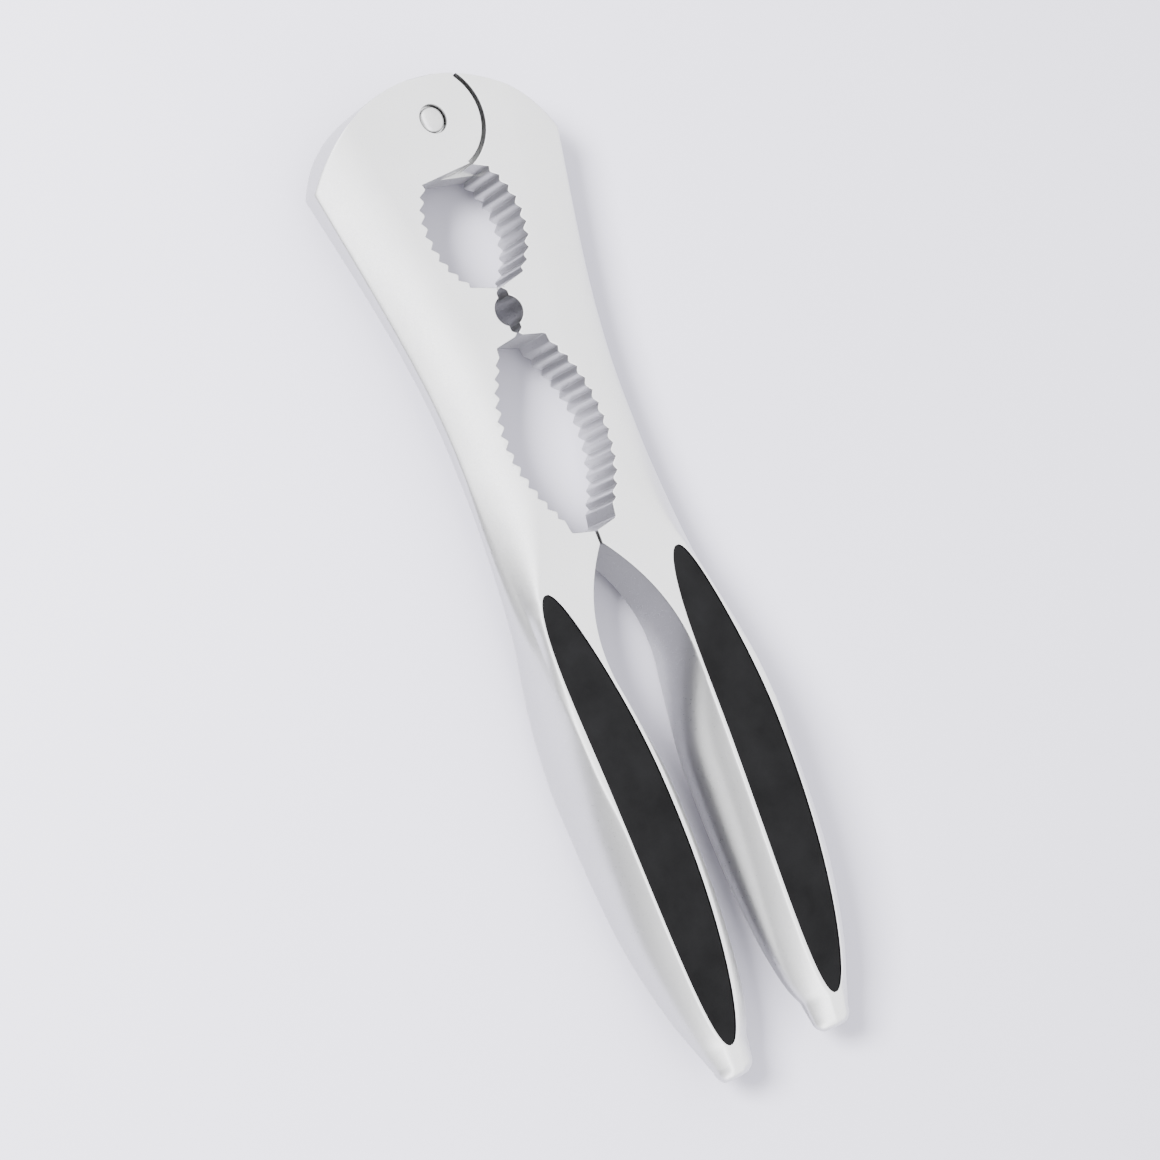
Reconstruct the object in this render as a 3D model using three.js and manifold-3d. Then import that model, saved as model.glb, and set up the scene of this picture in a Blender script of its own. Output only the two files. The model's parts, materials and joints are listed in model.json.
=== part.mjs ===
// Nutcracker: two identical cast levers, one turned over, that cross in a half-lap joint on a rivet.
// Millimetres, +Z up. The tool lies flat: its length runs along Y with the pivot end at +Y, and its
// width runs along X. Inside the model the pivot axis is x = 0, y = 0 and the middle plane is z = 0.
// Every distance named "..._AT" is measured from the pivot towards the handle tips.

import * as THREE from "three";
import { mergeVertices } from "three/addons/utils/BufferGeometryUtils.js";
import Module from "manifold-3d";

const wasm = await Module();
wasm.setup();

// ---------------------------------------------------------------- driving dimensions

// Head plate, seen from above
const HEAD_TOP = 8.7; // pivot to the top of the head
const HEAD_ARC_RADIUS = 34.6;
const CORNER_AT = 7.4; // the outer corners of the head
const CORNER_SLOPE = 0.2; // how fast the side runs in below the corner
const WAIST_AT = 64;
const WAIST_HALF_WIDTH = 20.8;

// Lever thickness, as half values above and below the middle plane
const JAW_HALF = 5.5;
const BELLY_HALF = 9.2;
const TIP_HALF = 2.3;
const CORNER_EDGE_HALF = 2.4;
const WAIST_EDGE_HALF = 1.3;
const SEAM_HALF = 0.45; // narrow land left by the mould along the inner sides
const RIDGE_INSET = 0.25; // draft of the head's outer wall
const RIM_LEAN = 0.25; // fall of the handle's rim from the grip to its outer ridge
const HEAD_SLOPE = 13; // width of the slope from the flat middle of the head to its outer edge
const CORNER_CURVE = 1.5; // how late the slope falls off at the head's corners, 1 is a plain bevel
const SLOPE_CURVE = 1.7; // the same from the waist on

// Handles
const CROTCH_AT = 88.3;
const LEAF_END_AT = 114; // where the gap between the handles is widest at its top
const LEAF_SLOPE = 0.85;
const SHOULDER_AT = 104; // where the head's slope has become the handle's side
const BELLY_AT = 136;
const TIP_AT = 193;
const TIP_FACE_HALF = 1.2;
const TIP_FACE_TAPER = 0.08; // growth of the tip's face for each mm back from the end
const TIP_FACE_LENGTH = 12;
const TIP_ROUND = 2.6; // length over which the end of a handle rounds off
const INNER_BULGE = 4.7; // how far the inner sides swell beyond the rim of the top face
const BULGE_LOSS = 0.25; // share of that swelling gone at the tip
const BULGE_HOLD = 8; // how long the swelling keeps its width before the tip

// Widest line of the outer side: share of the way from the waist to the tip, width beyond the waist's
const SIDE_LINE = [
  [0, 0],
  [0.155, 0.7],
  [0.287, 1.9],
  [0.395, 3.6],
  [0.512, 5.1],
  [0.643, 5],
  [0.767, 3.8],
  [0.876, 0.8],
  [0.953, -2.5],
  [0.984, -4.1],
];

// Grip inlays
const GRIP_START_AT = 93.8;
const GRIP_LENGTH = 92.6;
const GRIP_HALF_WIDTH = 5.87;
const GRIP_START_X = 16.1;
const GRIP_END_X = 13.4;
const GRIP_FULLNESS = 2.2; // 2 is an ellipse, more is fuller
const GRIP_SINK = 0.2; // below the metal rim
const GRIP_SKIN = 2;
const GRIP_WALL = 1.8;
const RIM = 0.8; // metal left beside a grip
const WIDE_RIM = 1.6; // the same on the outer side of the swelling
const START_FLAT = 1.5; // flat metal outside the upper end of a grip
const SIDE_FLAT = 0.4; // flat metal beside a grip
const WEB_HALF = 1.6; // metal left between the two pockets of a handle
const PEG_RADIUS = 1.3;
const PEG_LENGTH = 1.1;
const PEG_PLACES = [0.27, 0.73]; // along the grip
const PEG_HOLE_DEPTH = 1.4;

// Bites: the toothed hollows of the jaws, each a shallow arc of V-cut teeth
const TOOTH_DEPTH = 1.15;
const SMALL_BITE = { half: 11.5, radius: 15.6, at: 21.8, before: 9.95, after: 11.6, teeth: 9 };
const LARGE_BITE = { half: 11.9, radius: 29.1, at: 64.8, before: 15.5, after: 16.1, teeth: 12 };
const LARGE_BITE_TOP = { at: 46.2, half: 5.8 };
const LARGE_BITE_END = { at: 84.5, half: 5.3 };
const EYE_RADIUS = 3.1; // small round hole between the bites
const EYE_AT = 39.9;
const NECK_HALF = 1.2; // slots above and below the eye
const NECK_LENGTH = 1.1;

// Pivot
const KNUCKLE_RADIUS = 10.6;
const KNUCKLE_GROOVE = 0.9; // running gap round the knuckle
const KNUCKLE_CUT_NEAR = { x: 4.1, at: 10.3 };
const RIVET_HEAD_RADIUS = 2.6;
const RIVET_HEAD_RISE = 0.75;
const RIVET_HEAD_EDGE = 0.5;
const RIVET_PROUD = 0.15; // the dome stands just above the head's face
const RIVET_BARREL_RADIUS = 1.75;
const RIVET_BARREL_BORE = 1.15;
const RECESS_GAP = 0.35; // ring left round a rivet head
const WASHER_RADIUS = 5;
const WASHER_HALF = 0.4;

// Clearances
const TOUCH = 0.3; // between pieces that touch on the real object
const FIT = 0.15; // half of TOUCH, taken off each of two mating outlines
const LAP_HALF_GAP = 0.25; // each lap stands this far off the middle plane

const FAR = 400; // larger than the tool, for cutting blocks

// ---------------------------------------------------------------- small helpers

const degrees = THREE.MathUtils.degToRad;
const smooth = (value, from, to) => THREE.MathUtils.smoothstep(value, from, to);
const mix = THREE.MathUtils.lerp;

// Cubic between two points with given end slopes
function bend(x, x0, y0, slope0, x1, y1, slope1) {
  const run = x1 - x0;
  const t = THREE.MathUtils.clamp((x - x0) / run, 0, 1);
  const start = (1 + 2 * t) * (1 - t) ** 2 * y0 + t * (1 - t) ** 2 * run * slope0;
  const end = t * t * (3 - 2 * t) * y1 + t * t * (t - 1) * run * slope1;
  return start + end;
}

function arc(cx, cy, radius, fromDegrees, toDegrees, steps) {
  const points = [];
  for (let i = 0; i <= steps; i += 1) {
    const angle = degrees(mix(fromDegrees, toDegrees, i / steps));
    points.push([cx + radius * Math.cos(angle), cy + radius * Math.sin(angle)]);
  }
  return points;
}

function toSolid(geometry) {
  const bare = geometry.clone();
  bare.deleteAttribute("normal");
  bare.deleteAttribute("uv");
  const merged = mergeVertices(bare, 1e-4);
  const vertProperties = new Float32Array(merged.attributes.position.array);
  const triVerts = new Uint32Array(merged.index.array);
  return new wasm.Manifold(new wasm.Mesh({ numProp: 3, vertProperties, triVerts }));
}

function toGeometry(solid) {
  const mesh = solid.getMesh();
  const geometry = new THREE.BufferGeometry();
  geometry.setAttribute("position", new THREE.BufferAttribute(mesh.vertProperties, 3));
  geometry.setIndex(new THREE.BufferAttribute(mesh.triVerts, 1));
  geometry.computeVertexNormals();
  return geometry;
}

// Closed body through sections at several distances. Each section is a loop of [x, z] points that
// runs clockwise seen from the handle end, its second half lying under its first.
function loft(sections) {
  const count = sections[0].loop.length;
  const positions = [];
  for (const { at, loop } of sections) {
    for (const [x, z] of loop) {
      positions.push(x, -at, z);
    }
  }
  const index = [];
  for (let s = 0; s + 1 < sections.length; s += 1) {
    for (let i = 0; i < count; i += 1) {
      const a = s * count + i;
      const b = s * count + ((i + 1) % count);
      index.push(a, a + count, b, b, a + count, b + count);
    }
  }
  const end = positions.length / 3 - count;
  for (let i = 0; i + 1 < count / 2; i += 1) {
    const partner = count - 1 - i;
    index.push(i, i + 1, partner, i + 1, partner - 1, partner);
    index.push(end + i, end + partner, end + i + 1);
    index.push(end + i + 1, end + partner, end + partner - 1);
  }
  const geometry = new THREE.BufferGeometry();
  geometry.setAttribute("position", new THREE.Float32BufferAttribute(positions, 3));
  geometry.setIndex(index);
  return toSolid(geometry);
}

function prism(outline, low, high) {
  const shape = new THREE.Shape(outline.map(([x, y]) => new THREE.Vector2(x, y)));
  const geometry = new THREE.ExtrudeGeometry(shape, { depth: high - low, bevelEnabled: false });
  return toSolid(geometry.translate(0, 0, low));
}

function turned(profile, segments) {
  const points = profile.map(([radius, z]) => new THREE.Vector2(radius, z));
  return toSolid(new THREE.LatheGeometry(points, segments).rotateX(Math.PI / 2));
}

function drum(radius, low, high, x, y, segments = 32) {
  const geometry = new THREE.CylinderGeometry(radius, radius, high - low, segments);
  return toSolid(geometry.rotateX(Math.PI / 2).translate(x, y, (low + high) / 2));
}

// ---------------------------------------------------------------- shape of a lever

const HEAD_ARC_AT = HEAD_ARC_RADIUS - HEAD_TOP;
const CORNER_HALF_WIDTH = Math.sqrt(HEAD_ARC_RADIUS ** 2 - (HEAD_ARC_AT - CORNER_AT) ** 2);

const gripCentre = (at) => mix(GRIP_START_X, GRIP_END_X, (at - GRIP_START_AT) / GRIP_LENGTH);

function gripHalf(at) {
  const t = Math.abs((2 * (at - GRIP_START_AT)) / GRIP_LENGTH - 1);
  return t >= 1 ? 0 : GRIP_HALF_WIDTH * Math.sqrt(1 - t ** GRIP_FULLNESS);
}

// Half-width of a handle's flat face on one side: the grip and its rim, running out into the tip
function faceHalf(at, rim) {
  const besideGrip = gripHalf(at) + rim;
  const tip = TIP_FACE_HALF + TIP_FACE_TAPER * Math.min(TIP_AT - at, TIP_FACE_LENGTH);
  const apart = besideGrip - tip;
  return (besideGrip + tip + Math.sqrt(apart * apart + 0.05)) / 2;
}

// Height of the flat face above the middle plane
function faceHeight(at) {
  if (at <= BELLY_AT) {
    return mix(JAW_HALF, BELLY_HALF, smooth(at, CROTCH_AT, BELLY_AT - 2));
  }
  const t = (at - BELLY_AT) / (TIP_AT - BELLY_AT);
  return mix(BELLY_HALF, TIP_HALF, t * t);
}

// Smooth curve through a list of [place, value] pairs, level at its first pair
function through(pairs, at) {
  const last = pairs.length - 2;
  let i = 0;
  while (i < last && at > pairs[i + 1][0]) {
    i += 1;
  }
  const slope = (k) => {
    if (k === 0) {
      return 0;
    }
    const before = pairs[k - 1];
    const after = pairs[Math.min(k + 1, last + 1)];
    return (after[1] - before[1]) / (after[0] - before[0]);
  };
  return bend(at, ...pairs[i], slope(i), ...pairs[i + 1], slope(i + 1));
}

const outerRimWidth = (at) => mix(WIDE_RIM, RIM, smooth(at, BELLY_AT - 8, BELLY_AT + 6));
const handleRim = (at) => gripCentre(at) + faceHalf(at, outerRimWidth(at));
const innerFaceEdge = (at) => gripCentre(at) - faceHalf(at, RIM);

// Outer edge of the lever at its middle plane
function outerEdge(at) {
  if (at < CORNER_AT) {
    return Math.sqrt(Math.max(0, HEAD_ARC_RADIUS ** 2 - (HEAD_ARC_AT - at) ** 2));
  }
  if (at < WAIST_AT) {
    return bend(at, CORNER_AT, CORNER_HALF_WIDTH, -CORNER_SLOPE, WAIST_AT, WAIST_HALF_WIDTH, 0);
  }
  return WAIST_HALF_WIDTH + through(SIDE_LINE, (at - WAIST_AT) / (TIP_AT - WAIST_AT));
}

// Ridge between the upper face and the outer side
function outerRidge(at) {
  if (at < WAIST_AT) {
    return outerEdge(at) - RIDGE_INSET;
  }
  if (at < SHOULDER_AT) {
    const start = WAIST_HALF_WIDTH - RIDGE_INSET;
    const slope = handleRim(SHOULDER_AT + 0.5) - handleRim(SHOULDER_AT - 0.5);
    return bend(at, WAIST_AT, start, 0, SHOULDER_AT, handleRim(SHOULDER_AT), slope);
  }
  return handleRim(at);
}

// Half-thickness of the thin outer edge
function edgeHalf(at) {
  if (at < WAIST_AT) {
    return mix(CORNER_EDGE_HALF, WAIST_EDGE_HALF, smooth(at, CORNER_AT - 20, WAIST_AT - 20));
  }
  return mix(WAIST_EDGE_HALF, faceHeight(at) - RIM_LEAN, smooth(at, WAIST_AT + 6, SHOULDER_AT + 18));
}

// Line the slope of the upper face falls to: the outer edge, carried on past the rounded corners
function shoulderLine(at) {
  if (at < CORNER_AT) {
    return CORNER_HALF_WIDTH + CORNER_SLOPE * (CORNER_AT - at);
  }
  return outerEdge(at);
}

// Height of the slope, falling from the flat to the thin outer edge
function slopeHeight(at, x) {
  const line = shoulderLine(at);
  const start = Math.max(flatEnd(at), line - HEAD_SLOPE);
  const out = Math.max(0, (x - start) / (line - RIDGE_INSET - start));
  const curve = mix(CORNER_CURVE, SLOPE_CURVE, smooth(at, CORNER_AT, CORNER_AT + 35));
  return JAW_HALF - (JAW_HALF - edgeHalf(at)) * out ** curve;
}

// Where the flat part of the upper face ends on its outer side
function flatEnd(at) {
  if (at < WAIST_AT) {
    return Math.min(0.6 * outerEdge(at), shoulderLine(at) - HEAD_SLOPE);
  }
  const besideGrip = Math.min(gripCentre(at) + gripHalf(at) + SIDE_FLAT, outerRidge(at) - 0.3);
  const gripStartFlat = GRIP_START_X + START_FLAT;
  if (at < GRIP_START_AT) {
    return bend(at, WAIST_AT, WAIST_HALF_WIDTH - HEAD_SLOPE, 0, GRIP_START_AT, gripStartFlat, 0.5);
  }
  return mix(gripStartFlat, besideGrip, smooth(at, GRIP_START_AT, GRIP_START_AT + 4));
}

// Inner side: a plain wall down to the crotch, then the leaf-shaped gap, then the swelling side
function innerRim(at) {
  const leafEnd = innerFaceEdge(LEAF_END_AT);
  if (at < LEAF_END_AT) {
    const slope = -0.5 * LEAF_SLOPE * 0.1;
    return bend(at, CROTCH_AT, TOUCH, LEAF_SLOPE, LEAF_END_AT, leafEnd, slope);
  }
  return innerFaceEdge(at);
}

// How much of the full swelling the inner side has
function swelling(at) {
  if (at <= BELLY_AT) {
    return smooth(at, SHOULDER_AT, BELLY_AT);
  }
  return 1 - BULGE_LOSS * ((at - BELLY_AT) / (TIP_AT - BELLY_AT)) ** BULGE_HOLD;
}

const KNUCKLE_REACH = KNUCKLE_RADIUS + 3; // the lever's blank covers the other lever's side this far
const WALL_REACH = 2; // and this far along the jaws

function innerEdge(at) {
  if (at < SMALL_BITE.at) {
    return -mix(Math.min(KNUCKLE_REACH, outerEdge(at)), WALL_REACH, smooth(at, 14, 18));
  }
  if (at < CROTCH_AT) {
    return mix(-WALL_REACH, TOUCH, smooth(at, CROTCH_AT - 3, CROTCH_AT));
  }
  return innerRim(at) - (at < SHOULDER_AT ? 0 : INNER_BULGE * swelling(at));
}

const INNER_STEPS = 4;
const TOP_STEPS = 2;
const SLOPE_STEPS = 4;
const SIDE_STEPS = 4;

// Cross-section of the lever's blank: up the inner side, over the top, down the outer side, and back
function leverLoop(at) {
  const height = faceHeight(at);
  const inner = innerEdge(at);
  const innerTop = at < CROTCH_AT ? inner : innerRim(at);
  const flat = flatEnd(at);
  const ridge = outerRidge(at);
  const ridgeZ = at < WAIST_AT ? slopeHeight(at, ridge) : edgeHalf(at);
  const edge = outerEdge(at);
  const upper = [];
  for (let i = 0; i <= INNER_STEPS; i += 1) {
    const t = mix(SEAM_HALF / height, 1, i / INNER_STEPS);
    upper.push([mix(inner, innerTop, t * t), height * t]);
  }
  for (let i = 1; i <= TOP_STEPS; i += 1) {
    upper.push([mix(innerTop, flat, i / TOP_STEPS), height]);
  }
  for (let i = 1; i <= SLOPE_STEPS; i += 1) {
    const t = i / SLOPE_STEPS;
    const x = mix(flat, ridge, t);
    upper.push([x, at < WAIST_AT ? slopeHeight(at, x) : mix(height, ridgeZ, t ** SLOPE_CURVE)]);
  }
  for (let i = 1; i <= SIDE_STEPS; i += 1) {
    const t = 1 - 0.9 * (i / SIDE_STEPS);
    upper.push([edge - (edge - ridge) * t * t, ridgeZ * t]);
  }
  const lower = upper.map(([x, z]) => [x, -z]).reverse();
  return [...upper, ...lower];
}

// The last millimetres of a handle round off towards the end
function tipLoop(past) {
  const at = TIP_AT - TIP_ROUND;
  const narrowing = Math.sqrt(1 - (0.75 * past) ** 2);
  const thinning = Math.sqrt(1 - (0.92 * past) ** 2);
  const middle = gripCentre(at);
  return leverLoop(at).map(([x, z]) => [middle + (x - middle) * narrowing, z * thinning]);
}

function leverBlank() {
  const sections = [];
  const cornerAngle = Math.acos((HEAD_ARC_AT - CORNER_AT) / HEAD_ARC_RADIUS);
  const arcSteps = 12;
  for (let i = 0; i < arcSteps; i += 1) {
    const angle = mix(degrees(2), cornerAngle, i / arcSteps);
    sections.push(HEAD_ARC_AT - HEAD_ARC_RADIUS * Math.cos(angle));
  }
  const addRun = (from, to, steps) => {
    for (let i = 0; i < steps; i += 1) {
      sections.push(mix(from, to, i / steps));
    }
  };
  addRun(CORNER_AT, WAIST_AT, 9);
  addRun(WAIST_AT, CROTCH_AT - 3, 5);
  addRun(CROTCH_AT - 3, CROTCH_AT, 2);
  addRun(CROTCH_AT, LEAF_END_AT, 8);
  addRun(LEAF_END_AT, TIP_AT - TIP_ROUND, 22);
  const loops = sections.map((at) => ({ at, loop: leverLoop(at) }));
  for (const past of [0, 0.5, 0.8, 1]) {
    loops.push({ at: TIP_AT - TIP_ROUND * (1 - past), loop: tipLoop(past) });
  }
  return loft(loops);
}

// ---------------------------------------------------------------- outline of the jaws

// Valleys lie on the bite's arc; each tooth points straight across the tool
function toothRow({ half, radius, at, before, after, teeth }) {
  const centreX = half - radius;
  const start = THREE.MathUtils.radToDeg(Math.asin(before / radius));
  const end = -THREE.MathUtils.radToDeg(Math.asin(after / radius));
  const valleys = arc(centreX, -at, radius, start, end, teeth);
  const row = [valleys[0]];
  for (let i = 1; i < valleys.length; i += 1) {
    const [x0, y0] = valleys[i - 1];
    const [x1, y1] = valleys[i];
    row.push([(x0 + x1) / 2 - TOOTH_DEPTH, (y0 + y1) / 2], [x1, y1]);
  }
  return row;
}

// The inner outline of both layers, from the first tooth down to the crotch
function jawLine() {
  const eyeAngle = THREE.MathUtils.radToDeg(Math.acos(NECK_HALF / EYE_RADIUS));
  const eyeEnd = EYE_RADIUS * Math.sin(degrees(eyeAngle));
  const last = toothRow(LARGE_BITE).at(-1);
  return [
    ...toothRow(SMALL_BITE),
    [FIT, -(EYE_AT - eyeEnd - 2 * NECK_LENGTH + 0.3)],
    [NECK_HALF, -(EYE_AT - eyeEnd - NECK_LENGTH)],
    ...arc(0, -EYE_AT, EYE_RADIUS, eyeAngle, -eyeAngle, 10),
    [NECK_HALF, -(EYE_AT + eyeEnd + NECK_LENGTH)],
    [FIT, -(EYE_AT + eyeEnd + 1.6 * NECK_LENGTH)],
    [FIT + 0.7, -(EYE_AT + eyeEnd + 2.2 * NECK_LENGTH)],
    [LARGE_BITE_TOP.half, -LARGE_BITE_TOP.at],
    [LARGE_BITE_TOP.half + 0.2, -(LARGE_BITE_TOP.at + 1.9)],
    ...toothRow(LARGE_BITE),
    [last[0] - TOOTH_DEPTH - 0.1, last[1] - 0.8],
    [LARGE_BITE_END.half, -LARGE_BITE_END.at],
    [TOUCH, -(LARGE_BITE_END.at + 1.1)],
    [TOUCH, -CROTCH_AT],
    [-FAR, -CROTCH_AT],
    [-FAR, -FAR],
    [FAR, -FAR],
    [FAR, FAR],
  ];
}

// Layer that faces the other lever's knuckle: everything outside the groove
function shoulderOutline() {
  const groove = arc(0, 0, KNUCKLE_RADIUS + KNUCKLE_GROOVE, 42, -67.5, 20);
  return [[groove[0][0], FAR], ...groove, ...jawLine()];
}

// Layer that carries the knuckle
function knuckleOutline() {
  const rim = arc(0, 0, KNUCKLE_RADIUS, 141, 248, 20);
  return [[rim[0][0], FAR], ...rim, [-KNUCKLE_CUT_NEAR.x, -KNUCKLE_CUT_NEAR.at], ...jawLine()];
}

// ---------------------------------------------------------------- grips and their pockets

// Body over a grip's outline, grown by `grow`, from `low` up to a height given by `roof`
function gripBody(grow, low, roof, steps) {
  const sections = [];
  for (let i = 0; i <= steps; i += 1) {
    const along = (1 - Math.cos((Math.PI * (i + 0.5)) / (steps + 1))) / 2;
    const at = GRIP_START_AT + GRIP_LENGTH * along;
    const half = gripHalf(at) + grow;
    if (half > 0.3) {
      const centre = gripCentre(at);
      const top = roof(at);
      const loop = [[centre - half, low], [centre - half, top], [centre + half, top], [centre + half, low]];
      sections.push({ at, loop });
    }
  }
  return loft(sections);
}

const GRIP_STEPS = 26;
const POCKET_FLOOR = WEB_HALF;
const gripTop = (at) => faceHeight(at) - GRIP_SINK;
const pegPlaces = PEG_PLACES.map((along) => GRIP_START_AT + GRIP_LENGTH * along);

function gripPocket() {
  let pocket = gripBody(FIT, POCKET_FLOOR, () => FAR, GRIP_STEPS);
  for (const at of pegPlaces) {
    const floor = POCKET_FLOOR - PEG_HOLE_DEPTH;
    const hole = drum(PEG_RADIUS + TOUCH, floor, POCKET_FLOOR + 1, gripCentre(at), -at, 20);
    pocket = pocket.add(hole);
  }
  return pocket;
}

// A moulded cap: a skin with a skirt that stands on the pocket floor, and two pegs
function grip() {
  const base = POCKET_FLOOR + TOUCH;
  const skirt = gripBody(-FIT, base, gripTop, GRIP_STEPS);
  const hollowRoof = (at) => Math.max(base, gripTop(at) - GRIP_SKIN);
  const hollow = gripBody(-FIT - GRIP_WALL, base - 1, hollowRoof, GRIP_STEPS);
  let cap = skirt.subtract(hollow);
  for (const at of pegPlaces) {
    const foot = POCKET_FLOOR - PEG_LENGTH;
    const post = drum(PEG_RADIUS, foot, gripTop(at) - GRIP_SKIN + 0.5, gripCentre(at), -at, 20);
    cap = cap.add(post);
  }
  return cap;
}

function mirrorInZ(solid) {
  const mesh = solid.getMesh();
  const vertProperties = mesh.vertProperties.map((value, i) => (i % 3 === 2 ? -value : value));
  const triVerts = mesh.triVerts.slice().reverse();
  return new wasm.Manifold(new wasm.Mesh({ numProp: 3, vertProperties, triVerts }));
}

// ---------------------------------------------------------------- pieces

const HOLE_RADIUS = RIVET_BARREL_RADIUS + TOUCH;
const RECESS_RADIUS = RIVET_HEAD_RADIUS + RECESS_GAP;
const RIVET_SEAT = JAW_HALF + RIVET_PROUD - RIVET_HEAD_RISE - RIVET_HEAD_EDGE; // underside of a head
const WASHER_RECESS = WASHER_HALF + TOUCH;

function lever() {
  const keep = prism(shoulderOutline(), -FAR, FAR).add(prism(knuckleOutline(), -FAR, -LAP_HALF_GAP));
  const pocket = gripPocket();
  return leverBlank()
    .intersect(keep)
    .subtract(pocket)
    .subtract(mirrorInZ(pocket))
    .subtract(drum(HOLE_RADIUS, -FAR, 0, 0, 0))
    .subtract(drum(RECESS_RADIUS, -FAR, TOUCH - RIVET_SEAT, 0, 0, 40))
    .subtract(drum(WASHER_RADIUS + TOUCH, -WASHER_RECESS, 0, 0, 0, 40));
}

function domeProfile(steps) {
  const profile = [];
  for (let i = 0; i <= steps; i += 1) {
    const angle = (Math.PI / 2) * (i / steps);
    const rise = RIVET_HEAD_RISE * Math.sin(angle);
    profile.push([RIVET_HEAD_RADIUS * Math.cos(angle), RIVET_SEAT + RIVET_HEAD_EDGE + rise]);
  }
  profile.at(-1)[0] = 0;
  return profile;
}

// Solid half of the rivet, with its head on top
function rivetStud() {
  const shank = RIVET_BARREL_BORE - TOUCH;
  return turned([
    [0, -RIVET_SEAT + TOUCH],
    [shank, -RIVET_SEAT + TOUCH],
    [shank, RIVET_SEAT],
    [RIVET_HEAD_RADIUS, RIVET_SEAT],
    ...domeProfile(6),
  ], 32);
}

// Hollow half, with its head underneath; here it is drawn head up and turned over when placed
function rivetSleeve() {
  const mouth = -RIVET_SEAT + TOUCH;
  return turned([
    [0, RIVET_SEAT],
    [RIVET_BARREL_BORE, RIVET_SEAT],
    [RIVET_BARREL_BORE, mouth],
    [RIVET_BARREL_RADIUS, mouth],
    [RIVET_BARREL_RADIUS, RIVET_SEAT],
    [RIVET_HEAD_RADIUS, RIVET_SEAT],
    ...domeProfile(6),
  ], 32);
}

function pivotWasher() {
  const disc = drum(WASHER_RADIUS, -WASHER_HALF, WASHER_HALF, 0, 0, 40);
  return disc.subtract(drum(HOLE_RADIUS, -1, 1, 0, 0, 32));
}

// ---------------------------------------------------------------- assembly

const metal = () => new THREE.MeshStandardMaterial({ color: 0xd6d7d8, metalness: 1, roughness: 0.32 });
const steel = () => new THREE.MeshStandardMaterial({ color: 0xc4c4c6, metalness: 1, roughness: 0.22 });
const rubber = () => new THREE.MeshStandardMaterial({ color: 0x2b2b2c, metalness: 0, roughness: 0.72 });
const nylon = () => new THREE.MeshStandardMaterial({ color: 0xe6e4dc, metalness: 0, roughness: 0.5 });

function piece(name, solid, material) {
  const mesh = new THREE.Mesh(toGeometry(solid), material);
  mesh.name = name;
  return mesh;
}

function leverSet(side, castLever, upperGrip, lowerGrip) {
  const set = new THREE.Group();
  set.add(piece(`${side}_lever`, castLever, metal()));
  const faces = side === "right" ? ["top", "bottom"] : ["bottom", "top"];
  set.add(piece(`${side}_${faces[0]}_grip`, upperGrip, rubber()));
  set.add(piece(`${side}_${faces[1]}_grip`, lowerGrip, rubber()));
  return set;
}

const castLever = lever();
const upperGrip = grip();
const lowerGrip = mirrorInZ(upperGrip);

const rightSet = leverSet("right", castLever, upperGrip, lowerGrip);
const leftSet = leverSet("left", castLever, upperGrip, lowerGrip);
leftSet.rotation.y = Math.PI;

const stud = piece("rivet_stud", rivetStud(), steel());
const sleeve = piece("rivet_sleeve", rivetSleeve(), steel());
sleeve.rotation.y = Math.PI;
const washer = piece("pivot_washer", pivotWasher(), nylon());

const nutcracker = new THREE.Group();
nutcracker.add(leftSet, rightSet, stud, sleeve, washer);
nutcracker.position.set(0, (TIP_AT - HEAD_TOP) / 2, BELLY_HALF);

export default nutcracker;
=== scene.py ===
import json
import math

import bpy
import numpy as np
from mathutils import Matrix, Vector


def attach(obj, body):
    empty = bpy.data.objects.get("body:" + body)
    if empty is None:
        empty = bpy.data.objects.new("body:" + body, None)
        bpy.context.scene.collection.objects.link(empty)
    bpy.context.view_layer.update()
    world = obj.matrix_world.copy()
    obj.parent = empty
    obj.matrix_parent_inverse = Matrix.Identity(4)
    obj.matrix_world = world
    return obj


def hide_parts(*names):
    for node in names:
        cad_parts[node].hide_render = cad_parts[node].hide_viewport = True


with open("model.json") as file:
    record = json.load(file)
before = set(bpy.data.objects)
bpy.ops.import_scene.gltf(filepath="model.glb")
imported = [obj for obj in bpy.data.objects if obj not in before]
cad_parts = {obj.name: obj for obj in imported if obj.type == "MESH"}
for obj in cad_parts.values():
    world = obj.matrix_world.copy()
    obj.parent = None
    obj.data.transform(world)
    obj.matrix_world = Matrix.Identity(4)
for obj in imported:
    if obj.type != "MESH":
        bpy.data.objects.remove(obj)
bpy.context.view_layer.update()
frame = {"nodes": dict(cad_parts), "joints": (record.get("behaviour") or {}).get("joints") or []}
PIVOT = Vector(frame["joints"][0]["pos_m"])
MM = 0.001

# ------------------------------------------------------------------ sizes, in millimetres
# "at" is the distance from the pivot towards the handle tips, z is height above the middle plane.

HEAD_TOP = 8.7
HEAD_ARC_RADIUS = 34.6
CORNER_AT = 7.4
CORNER_SLOPE = 0.2
WAIST_AT = 64
WAIST_HALF_WIDTH = 20.8
SLOPE_WIDTH = 13.0
CORNER_CURVE = 1.5
SLOPE_CURVE = 1.7

JAW_HALF = 5.5
BELLY_HALF = 9.2
TIP_HALF = 2.3
CORNER_EDGE_HALF = 2.4
WAIST_EDGE_HALF = 1.3
RIDGE_INSET = 0.25
RIM_LEAN = 0.25

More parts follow.
